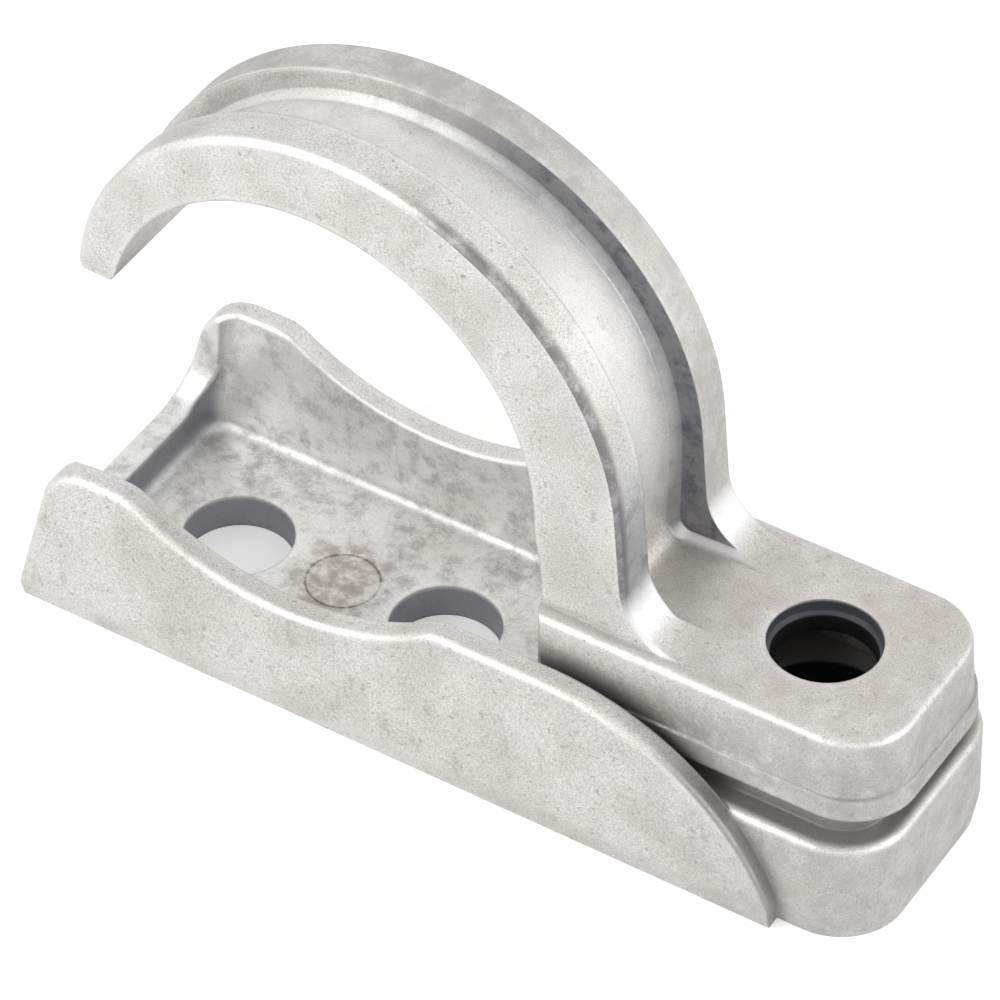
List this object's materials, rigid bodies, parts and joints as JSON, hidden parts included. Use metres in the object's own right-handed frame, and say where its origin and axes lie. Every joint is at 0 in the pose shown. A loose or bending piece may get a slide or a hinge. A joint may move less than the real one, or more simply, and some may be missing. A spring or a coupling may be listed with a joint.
{
  "type": "conduit strap",
  "caption": "Cast aluminium conduit strap: a grooved hook with a screw foot, resting on a trough-shaped clamp back with a saddle for the conduit.",
  "frame": {"origin": "on the clamp back's rear face, in the middle plane, straight below the axis of the conduit seat", "axes": "+X along the part, from the hook's open end to the screw foot; +Y along the conduit; +Z away from the wall"},
  "size_m": [0.0664, 0.0216, 0.0463],
  "materials": {
    "cast_aluminium": "tumbled as-cast"
  },
  "bodies": {
    "root": {"strap": "cast_aluminium", "clamp_back": "cast_aluminium"}
  },
  "joints": []
}
